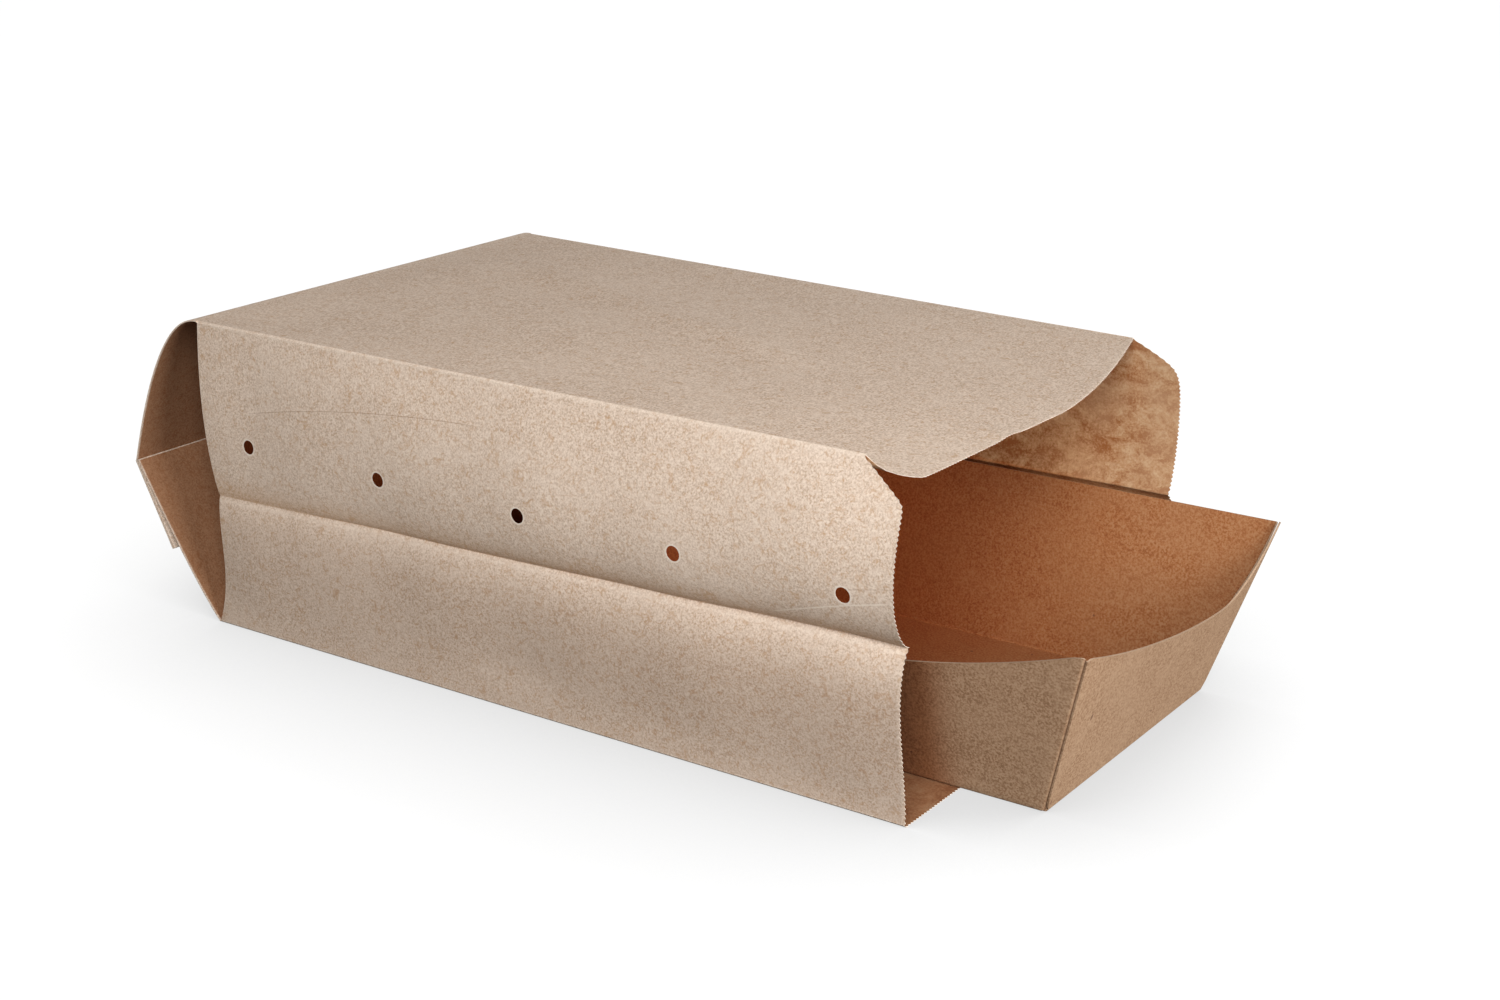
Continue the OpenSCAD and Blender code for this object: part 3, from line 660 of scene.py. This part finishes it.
def buildBag():
    # rings of points from the mouth over the closed end to the flap's end, then the inner face and the rim
    across = acrossList(bag["acrossSteps"])
    na, nt = bag["acrossSteps"], 2 * bag["acrossSteps"] + bag["middleSteps"]
    y = panelList(across, bag["middleSteps"])
    firstU = 1 - bag["toothBand"] / bag["length"]
    u = np.concatenate([firstU - np.array([0, 0.4, 1, 2, 3.2]) / 100, np.linspace(firstU - 0.045, 0.03, 62),
                        [0.02, 0.012, 0.006, 0.002, 0]])[:, None]
    t = across[1:][:, None]
    c = np.concatenate([np.linspace(1.1, 2, 10), np.linspace(2.12, 3, 8)])[:, None]
    outer = np.concatenate([
        softForm(bodyRing(u, y, across), u), endRing(t, y, across), flapRing(c, y, across)])
    ridgeRow, lastRow, n = len(u) + len(t) - 1, len(outer) - 1, outer.shape[1]
    at = ringPlaces(y, across)

    # inner face: one paper thickness inside, square to both faces that meet at each point
    rows = np.arange(ridgeRow + 1)
    along = outer[np.maximum(rows - 1, 0)] - outer[np.minimum(rows + 1, ridgeRow)]
    around = np.roll(outer[:ridgeRow + 1], -1, axis=1) - outer[:ridgeRow + 1]
    after = unit(np.cross(along + np.roll(along, -1, axis=1), around))
    before = np.roll(after, 1, axis=1)
    share = np.maximum(0.4, 1 + (after * before).sum(-1, keepdims=True))
    move = bag["paper"] * (after + before) / share
    move[0, :, 0] = 0
    inner = outer[:ridgeRow + 1] - move

    # saw-cut rim: a finer ring whose points alternate between tip and root of a tooth
    fineY = np.linspace(-halfWidth, halfWidth, 2 * round(bag["width"] / bag["toothPitch"]) + 1)
    fineP = np.linspace(0, 1, 2 * round(gusset / bag["toothPitch"]) + 1)
    one = np.ones((1, 1))
    fine = softForm(bodyRing(one, fineY, fineP), one)[0]
    fineAt = ringPlaces(fineY, fineP)
    fine[:, 0] += bag["toothDepth"] * (np.arange(len(fine)) % 2 - 0.5)
    fineMove = np.stack([np.interp(fineAt, at, move[0, :, k]) for k in range(3)], -1)
    fineInner = fine - fineMove
    m = len(fine)

    # triangles, all listed anticlockwise from outside
    j = np.arange(n)
    nextJ = (j + 1) % n

    def patches(base, rowCount):
        k = base + np.arange(rowCount)[:, None] * n
        return np.stack([k + j, k + nextJ, k + n + nextJ, k + n + j], -1).reshape(-1, 4)

    farUp, farLow = nt + 1, nt + 2 + 2 * na
    nearLow, nearUp = 2 * nt + 4 + 2 * na, 2 * nt + 5 + 4 * na
    rising = ((j >= farUp) & (j < farLow - na)) | ((j >= nearLow) & (j < nearUp - na))
    a = np.arange(na)
    middle = np.arange(na, nt - na)

    def base(i):
        return 2 * nt + 3 + 2 * na - i

    cap = np.concatenate([
        np.stack([a, a + 1, nearUp - a - 1, nearUp - a], -1),
        np.stack([base(a + 1), base(a), nearLow + a, nearLow + a + 1], -1),
        np.stack([nt - a - 1, nt - a, farUp + a, farUp + a + 1], -1),
        np.stack([farLow - a - 1, farLow - a, base(nt - a), base(nt - a - 1)], -1),
        np.stack([middle, middle + 1, base(middle + 1), base(middle)], -1),
        [[na, base(na), nearLow + na, nearUp - na], [nt - na, farUp + na, farLow - na, base(nt - na)]]])
    innerStart = (lastRow + 1) * n
    fineStart = innerStart + (ridgeRow + 1) * n
    fineInnerStart = fineStart + m
    i = np.arange(m)
    nextI = (i + 1) % m
    rim = np.stack([fineStart + nextI, fineStart + i, fineInnerStart + i, fineInnerStart + nextI], -1)
    allOuter = quadsToTriangles(patches(0, lastRow), np.tile(rising, lastRow))
    allInner = quadsToTriangles(patches(innerStart, ridgeRow), np.tile(rising, ridgeRow))[:, ::-1]
    bandOuter = np.concatenate(zip2(fineAt, at, fineStart + i, j))
    bandInner = np.concatenate(zip2(fineAt, at, fineInnerStart + i, innerStart + j))[:, ::-1]
    always = np.ones(len(cap), dtype=bool)
    groups = [
        (allOuter, 0), (bandOuter, 0), (allInner, 1), (bandInner, 1),
        (quadsToTriangles(rim, np.ones(m, dtype=bool)), 2),
        (quadsToTriangles(cap + lastRow * n, always), 2),
        (quadsToTriangles(cap + innerStart + ridgeRow * n, always)[:, ::-1], 1)]
    faces = np.concatenate([g for g, _ in groups])
    slots = np.concatenate([np.full(len(g), s) for g, s in groups])

    # painted highlight as a pale line along each long fold and below each centre crease, and painted shade as
    # a dark line above each crease
    folds = np.array([0, bag["width"], bag["width"] + 2 * gusset, 2 * bag["width"] + 2 * gusset, at[-1]])
    toFold = np.abs(at[:, None] - folds).min(1)
    creases = [bag["width"] + gusset, 2 * bag["width"] + 3 * gusset]
    toCrease = np.abs(at[:, None] - creases).min(1)
    above = np.zeros(n)
    above[farUp:farUp + na + 1] = 1
    above[nearUp - na:nearUp + 1] = 1
    bodyRows = len(u)
    innerCount = (ridgeRow + 1) * n
    rest = np.zeros(innerCount + 2 * m)
    foldHighlightRow = bell(toFold, bag["foldHighlight"]) + (1 - above) * bell(toCrease, bag["lowHighlight"])
    creaseRow = above * (bell(toCrease, bag["creaseMark"]) + bell(toCrease, bag["creaseShade"]))
    foldHighlightLine = np.concatenate([np.tile(foldHighlightRow, lastRow + 1), rest])
    creaseLine = np.concatenate([np.tile(creaseRow, lastRow + 1), rest])
    # the closed end's gussets get painted shade, and the panels have a grain of their own and a little
    # painted shade
    onGusset = np.zeros(n)
    onGusset[farUp + 1:farLow] = 1
    onGusset[nearLow + 1:nearUp] = 1
    ear = np.concatenate([np.zeros(bodyRows), np.ones(len(t)), np.zeros(len(c))])
    pocketShade = np.concatenate([(bag["earShade"] * ear[:, None] * onGusset).ravel(), rest])
    panelRow = 1 - onGusset
    panelRow[[0, nt, farUp, farLow, nearLow, nearUp]] = 0
    panel = np.concatenate([(bag["panelGrainAndShade"] * panelRow * (1 - ear[:, None])).ravel(), rest])
    # painted shade on the lower half of each gusset, a little less at its bottom and more towards the mouth
    belowRow = onGusset * (1 - above)
    below = smooth(outer[..., 2], 46, 28) * mix(0.8, 1.0, smooth(outer[..., 2], 6, 18))
    rightwards = mix(0.6, 1.15, np.clip(outer[..., 0] / bag["length"], 0, 1))
    shade = bag["gussetShade"] * belowRow * below * rightwards * (1 - ear[:, None])
    shade = np.concatenate([shade.ravel(), rest])
    points = np.concatenate([outer.reshape(-1, 3), inner.reshape(-1, 3), fine, fineInner])
    points[:, 0] += bagEnd
    piece = addMesh("bagPaper", points, faces, slots,
                    [kraftOutside(), kraftInside(), plainEdge("kraftCutEdge", paperLook["cutEdge"])],
                    32, {"foldHighlightLine": foldHighlightLine, "creaseLine": creaseLine, "pocketShade": pocketShade, "panel": panel,
                         "shade": shade})
    punchVents(piece)
    return piece


def ventPlaces():
    # evenly spaced along the gusset, the middle ones a little off towards the mouth
    f = np.arange(bag["ventCount"]) / max(1, bag["ventCount"] - 1)
    x = mix(bag["ventFirst"], bag["length"] - bag["ventLast"], f) + bag["ventShift"] * np.sin(math.pi * f)
    return [(float(a), float(b)) for a, b in zip(x, bag["ventZ"] + bag["ventRise"] * x)]


def punchVents(piece):
    # round bars along Y through the near gusset only, taken away from the paper
    steps, radius = bag["ventSteps"], bag["ventDiameter"] / 2
    angle = np.linspace(0, 2 * math.pi, steps, endpoint=False)
    i = np.arange(steps)
    j = (i + 1) % steps
    points, faces = [], []
    for k, (x, z) in enumerate(ventPlaces()):
        circle = np.stack([x + bagEnd + radius * np.cos(angle), 0 * angle, z + radius * np.sin(angle)], -1)
        points += [circle + [0, -halfWidth - bag["ventOut"], 0], circle + [0, -halfWidth + bag["ventIn"], 0]]
        first = 2 * steps * k
        second = first + steps
        faces += [list(row) for row in np.stack([first + j, first + i, second + i, second + j], -1)]
        faces += [list(first + i), list((second + i)[::-1])]
    mesh = bpy.data.meshes.new("ventBars")
    corners = (np.concatenate(points) * toMetres).tolist()
    mesh.from_pydata(corners, [], [[int(v) for v in face] for face in faces])
    mesh.materials.append(piece.data.materials[2])
    bars = addObject("ventBars", mesh)
    punch = piece.modifiers.new("ventHoles", "BOOLEAN")
    punch.operation, punch.solver, punch.object = "DIFFERENCE", "MANIFOLD", bars
    punch.material_mode = "TRANSFER"
    graph = bpy.context.evaluated_depsgraph_get()
    finished = bpy.data.meshes.new_from_object(piece.evaluated_get(graph))
    unpunched = piece.data
    piece.modifiers.clear()
    piece.data = finished
    finished.name = piece.name
    bpy.data.objects.remove(bars)
    bpy.data.meshes.remove(mesh)
    bpy.data.meshes.remove(unpunched)


# The tray

tray = dict(
    board=0.45, bottomLength=130.0, bottomWidth=87.0, sideDip=15.0, endDip=17.5, endDipAt=0.82, nearStep=1.0,
    cornerFlat=1.6, tabLength=13.0, foldRadius=0.9, cornerRadius=0.8, buttGap=0.38, farGapShare=0.3,
    tabInset=0.06, tabDrop=0.6, tabSteps=18, endBow=2.6, nearBow=0.7, farBow=1.2, rimNotch=(0.7, 0.012))
trayHeight = trayHigh[2] - trayLow[2]
trayMid = (trayLow + trayHigh) / 2
endLean = (trayHigh[0] - trayLow[0] - tray["bottomLength"]) / 2
sideLean = (trayHigh[1] - trayLow[1] - tray["bottomWidth"]) / 2
endBoard = tray["board"] / math.cos(math.atan(endLean / trayHeight))


def endPlane(z):
    return tray["bottomLength"] / 2 + endLean * z / trayHeight


def sidePlane(z):
    return tray["bottomWidth"] / 2 + sideLean * z / trayHeight


def nearRim(x):
    # arc of a circle between the two near corners, which are lower than the far ones
    nearHeight = trayHeight - tray["nearStep"]
    span = endPlane(trayHeight) - tray["cornerFlat"]
    radius = (span ** 2 + tray["sideDip"] ** 2) / (2 * tray["sideDip"])
    return nearHeight - tray["sideDip"] + radius - np.sqrt(radius ** 2 - np.minimum(np.abs(x), span) ** 2)


def endRim(f):
    # f is 0 at the near corner and 1 at the far one: a long falling curve, then a quarter ellipse up
    low, at = trayHeight - tray["endDip"], tray["endDipAt"]
    farEnd = 1 - tray["cornerFlat"] / (2 * sidePlane(trayHeight))
    nearHeight = trayHeight - tray["nearStep"]
    fall = low + (nearHeight - low) * np.clip(1 - f / at, 0, 1) ** 1.6
    rise = low + tray["endDip"] * (1 - np.sqrt(np.clip(1 - ((f - at) / (farEnd - at)) ** 2, 0, 1)))
    depth, width = tray["rimNotch"]
    notch = depth * bump(f, 0, width)
    return np.where(f < at, fall - notch, rise)


def thickSheet(grid, board, rawSides=True):
    # a sheet with its outer face on the grid and its inner face one board thickness inside, closed at its
    # edges: slot 0 outside, 1 inside, 2 at the raw edges
    rows, cols = grid.shape[:2]
    normal = unit(np.cross(np.gradient(grid, axis=1), np.gradient(grid, axis=0)))
    inside = grid - board * normal
    index = np.arange(rows * cols).reshape(rows, cols)
    shift = rows * cols

    def quads(a):
        return np.stack([a[:-1, :-1], a[:-1, 1:], a[1:, 1:], a[1:, :-1]], -1).reshape(-1, 4)

    loop = np.concatenate([index[0, :-1], index[:-1, -1], index[-1, :0:-1], index[:0:-1, 0]])
    sideSlot = 2 if rawSides else 0
    edgeSlots = np.concatenate([np.full(cols - 1, 2), np.full(rows - 1, sideSlot),
                                np.full(cols - 1, 2), np.full(rows - 1, sideSlot)])
    after = np.roll(loop, -1)
    border = np.stack([after, loop, loop + shift, after + shift], -1)
    outside = quads(index)
    inner = quads(index + shift)[:, ::-1]
    allQuads = np.concatenate([outside, inner, border])
    slots = np.concatenate([np.zeros(len(outside)), np.ones(len(inner)), edgeSlots])
    points = np.concatenate([grid.reshape(-1, 3), inside.reshape(-1, 3)])
    return points, quadsToTriangles(allQuads, np.ones(len(allQuads), dtype=bool)), np.tile(slots, 2)


def buildTray():
    # three folded sheets: the bottom with both end walls, and each long wall with its two tabs
    r = tray["foldRadius"]
    endTurn = math.atan2(trayHeight, endLean)
    sideTurn = math.atan2(trayHeight, sideLean)
    endStart = tray["bottomLength"] / 2 - r * math.tan(endTurn / 2)
    sideStart = tray["bottomWidth"] / 2 - r * math.tan(sideTurn / 2)

    # bottom and end walls: one strip from rim to rim, its profile an arc at each fold
    at = 2 * tray["endDipAt"] - 1
    q = np.concatenate([np.linspace(-1, -0.94, 7), np.linspace(-0.94, at, 44)[1:],
                        at + (0.971 - at) * np.sin(np.linspace(0, math.pi / 2, 16))[1:], [0.985, 1.0]])
    q = q[None, :]
    phi = np.linspace(0, endTurn, 9)[1:]
    foldX, foldZ = endStart + r * np.sin(phi), r - r * np.cos(phi)
    v = np.linspace(0, 1, 25)[1:, None]
    wallZ = mix(foldZ[-1], endRim((q + 1) / 2), v)
    lift = wallZ / trayHeight
    bow = tray["endBow"] * lift ** 2 * (1 - q ** 4) * mix(tray["nearBow"], tray["farBow"], (q + 1) / 2)
    wallX = foldX[-1] + (wallZ - foldZ[-1]) * endLean / trayHeight + bow
    gap = tray["buttGap"] * smooth(wallZ, 0.5, 3) * mix(0.6, 1.0, lift)
    gap = gap * np.where(q > 0, tray["farGapShare"], 1)
    wall = np.stack([wallX, q * (sidePlane(wallZ) - gap), wallZ], -1)
    fold = np.stack(np.broadcast_arrays(foldX[:, None], q * sideStart, foldZ[:, None]), -1)
    floorX = np.linspace(-endStart, endStart, 40)[:, None]
    floor = np.stack(np.broadcast_arrays(floorX, q * sideStart, 0.0), -1)
    flip = np.array([-1, 1, 1])
    sheets = [(np.concatenate([(wall * flip)[::-1], (fold * flip)[::-1], floor, fold, wall]), None)]

    # long walls: each folds round both corners into tabs that lie inside the end walls
    rc = tray["cornerRadius"]
    bend = np.linspace(0, math.pi / 2, 8)
    straight = np.linspace(-1, 1, 70)[1:-1]
    tabs = np.linspace(0, 1, tray["tabSteps"] + 1)[1:] ** 1.5
    for side in (-1, 1):
        # along the sheet: x as a share of the wall less rc, turning angle, and length down the tab
        ends = np.ones(len(tabs) + len(bend))
        quarter = np.full(len(tabs), math.pi / 2)
        share = np.concatenate([-ends, straight, ends])
        angle = np.concatenate([-quarter, -bend[::-1], 0 * straight, bend, quarter])
        onTab = np.concatenate([tabs[::-1], 0 * bend, 0 * straight, 0 * bend, tabs])
        onWall = 1 - np.abs(angle) / (math.pi / 2)
        sidePhi = np.linspace(0, sideTurn, 9)[:, None]
        foldIn = onWall * (tray["bottomWidth"] / 2 - sideStart - r * np.sin(sidePhi))
        foldUp = mix(0.7 + 0 * sidePhi, r - r * np.cos(sidePhi), onWall) + (1 - onWall) * 0.05 * sidePhi
        xAtRim = share * (endPlane(trayHeight) - endBoard)
        wallRim = nearRim(xAtRim) if side < 0 else trayHeight + 0 * xAtRim
        down = onTab * (tray["tabLength"] - rc)
        tabY = side * (sidePlane(trayHeight) - rc - down)
        tabRim = endRim((tabY / sidePlane(trayHeight) + 1) / 2) - tray["tabDrop"]
        rimZ = np.where(onTab > 0, tabRim, wallRim - 0.5 * (1 - onWall) ** 2)
        rise = np.linspace(0, 1, 25)[1:, None]
        z = np.concatenate([foldUp, mix(foldUp[-1], rimZ, rise)])
        # a tab is cut on a slant: narrow at the rim, full length at the bottom
        slant = mix(1.0, 0.2, np.clip(z / trayHeight, 0, 1) ** 2)
        inset = np.concatenate([foldIn, 0 * rise * onWall])
        endX = endPlane(z) - endBoard - tray["tabInset"]
        sideY = sidePlane(z) - inset
        bowed = tray["endBow"] * (z / trayHeight) ** 2 * (1 - (1 - 0.12 * onTab) ** 4)
        bowed = bowed * (1.0 if side > 0 else tray["nearBow"])
        x = share * (endX - rc) + rc * np.sin(angle) + np.sign(share) * bowed * (onTab > 0)
        yOut = sideY - rc * (1 - np.cos(angle)) - down * slant
        grid = np.stack(np.broadcast_arrays(x, side * yOut, z), -1)
        # painted shadow in the gap at each corner, over the bends into the tabs
        dark = np.broadcast_to(smooth(np.abs(angle), 0.5, 1.2), z.shape)
        sheets.append((grid, dark) if side < 0 else (grid[:, ::-1], dark[:, ::-1]))

    points, faces, slots, cornerShadeRows, count = [], [], [], [], 0
    for k, (grid, dark) in enumerate(sheets):
        p, f, s = thickSheet(grid, tray["board"], k > 0)
        points.append(p)
        faces.append(f + count)
        slots.append(s)
        cornerShadeRows += [0 * p[:len(p) // 2, 0] if dark is None else dark.ravel(), 0 * p[:len(p) // 2, 0]]
        count += len(p)
    allPoints = np.concatenate(points) + [trayMid[0], trayMid[1], trayLow[2]]
    outside = kraftBoard("kraftBoardOutside", boardLook["pale"], boardLook["middle"], boardLook["deep"])
    inside = kraftBoard("kraftBoardInside", boardLook["insidePale"], boardLook["insideMiddle"],
                        boardLook["insideDeep"], boardLook["insideFarShade"])
    return addMesh("trayBoard", allPoints, np.concatenate(faces), np.concatenate(slots),
                   [outside, inside, plainEdge("kraftBoardEdge", boardLook["cutEdge"])], 28,
                   {"cornerShade": np.concatenate(cornerShadeRows)})


# Studio

studio = dict(
    worldColour=(1.0, 0.86, 0.71), worldStrength=0.09, floorSize=6.0, floorColour=(0.06, 0.06, 0.06),
    # the floor's tone goes from shadowTone to 1 as its openness within shadowReach goes from one to the other
    shadowReach=0.10, shadowTone=0.68, shadowFrom=0.36, shadowTo=0.93,
    frontPlace=(0.43, -0.68, 0.53), frontSize=0.42, frontPower=6.8,
    sidePlace=(0.83, -0.17, 0.22), sideSize=0.50, sidePower=7.4,
    backPlace=(-0.62, 0.92, 0.16), backSize=0.8, backPower=7.0, aim=(0, 0, 0.04))

camera = dict(
    place=(346.5, -471.2, 234.0), yaw=34.66, pitch=18.51, focalPixels=2253.5, photoWidth=1500)


def buildCamera():
    # turned by yaw round Z and then down by pitch
    yaw, pitch = math.radians(camera["yaw"]), math.radians(camera["pitch"])
    ahead = Vector((-math.sin(yaw) * math.cos(pitch), math.cos(yaw) * math.cos(pitch), -math.sin(pitch)))
    right = Vector((math.cos(yaw), math.sin(yaw), 0))
    up = right.cross(ahead)
    data = bpy.data.cameras.new("photoCamera")
    data.sensor_width = 36
    data.lens = camera["focalPixels"] / camera["photoWidth"] * data.sensor_width
    data.clip_start, data.clip_end = 0.01, 50
    cam = addObject("photoCamera", data)
    turn = Matrix((right, up, -ahead)).transposed().to_4x4()
    cam.matrix_world = Matrix.Translation(Vector(camera["place"]) * toMetres) @ turn
    bpy.context.scene.camera = cam


def emptyTree(owner):
    owner.use_nodes = True
    owner.node_tree.nodes.clear()
    return owner.node_tree


def seenDirectly(tree):
    # 1 for camera, glossy and transmission rays and 0 for all others
    new, link = tree.nodes.new, tree.links.new
    rays = new("ShaderNodeLightPath")
    total = rays.outputs["Is Camera Ray"]
    for kind in ("Is Glossy Ray", "Is Transmission Ray"):
        more = new("ShaderNodeMath")
        more.operation, more.use_clamp = "ADD", True
        link(total, more.inputs[0])
        link(rays.outputs[kind], more.inputs[1])
        total = more.outputs[0]
    return total


def buildFloor():
    # for rays that see it directly the floor glows at white, less where things stand close to it, so that
    # open floor shows white with a soft shadow round the object
    material = bpy.data.materials.new("paleFloor")
    tree = emptyTree(material)
    new, link = tree.nodes.new, tree.links.new
    diffuse = new("ShaderNodeBsdfDiffuse")
    diffuse.inputs["Color"].default_value = (*studio["floorColour"], 1)
    glow = new("ShaderNodeEmission")
    openness = new("ShaderNodeAmbientOcclusion")
    openness.samples = 16
    openness.inputs["Distance"].default_value = studio["shadowReach"]
    shade = new("ShaderNodeMapRange")
    link(openness.outputs["AO"], shade.inputs["Value"])
    setRange(shade, studio["shadowFrom"], studio["shadowTo"], studio["shadowTone"], 1.0)
    lift = new("ShaderNodeMath")
    lift.operation = "MULTIPLY"
    link(seenDirectly(tree), lift.inputs[0])
    link(shade.outputs["Result"], lift.inputs[1])
    link(lift.outputs[0], glow.inputs["Strength"])
    both = new("ShaderNodeAddShader")
    link(diffuse.outputs[0], both.inputs[0])
    link(glow.outputs[0], both.inputs[1])
    output = new("ShaderNodeOutputMaterial")
    link(both.outputs[0], output.inputs["Surface"])
    half = studio["floorSize"] / 2
    corners = [(-half, -half, 0), (half, -half, 0), (half, half, 0), (-half, half, 0)]
    mesh = bpy.data.meshes.new("paleFloor")
    mesh.from_pydata(corners, [], [(0, 1, 2, 3)])
    mesh.materials.append(material)
    return addObject("paleFloor", mesh)


def buildWorld():
    # white for rays that see it directly, and a faint warm light for all others
    world = bpy.data.worlds.new("studioWorld")
    bpy.context.scene.world = world
    tree = emptyTree(world)
    new, link = tree.nodes.new, tree.links.new
    light = new("ShaderNodeBackground")
    light.inputs["Strength"].default_value = studio["worldStrength"]
    light.inputs["Color"].default_value = (*studio["worldColour"], 1)
    white = new("ShaderNodeBackground")
    white.inputs["Strength"].default_value = 1.0
    white.inputs["Color"].default_value = (1, 1, 1, 1)
    choose = new("ShaderNodeMixShader")
    link(seenDirectly(tree), choose.inputs[0])
    link(light.outputs[0], choose.inputs[1])
    link(white.outputs[0], choose.inputs[2])
    output = new("ShaderNodeOutputWorld")
    link(choose.outputs[0], output.inputs["Surface"])


def buildLamp(name, place, size, power):
    data = bpy.data.lights.new(name, "AREA")
    data.shape, data.size, data.energy = "SQUARE", size, power
    lamp = addObject(name, data)
    lamp.location = place
    lamp.rotation_mode = "QUATERNION"
    lamp.rotation_quaternion = (Vector(studio["aim"]) - Vector(place)).to_track_quat("-Z", "Y")


bagPiece = buildBag()
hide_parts("bag")
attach(bagPiece, "root")
print("stage: bag built,", len(bagPiece.data.polygons), "faces")

trayPiece = buildTray()
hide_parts("tray")
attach(trayPiece, "root")
print("stage: tray built,", len(trayPiece.data.polygons), "faces")

buildCamera()
floorPiece = buildFloor()
buildWorld()
for lampName in ("front", "side", "back"):
    buildLamp(lampName + "Lamp", *(studio[lampName + key] for key in ("Place", "Size", "Power")))
bpy.context.scene.view_settings.view_transform = "Standard"
print("stage: studio built")
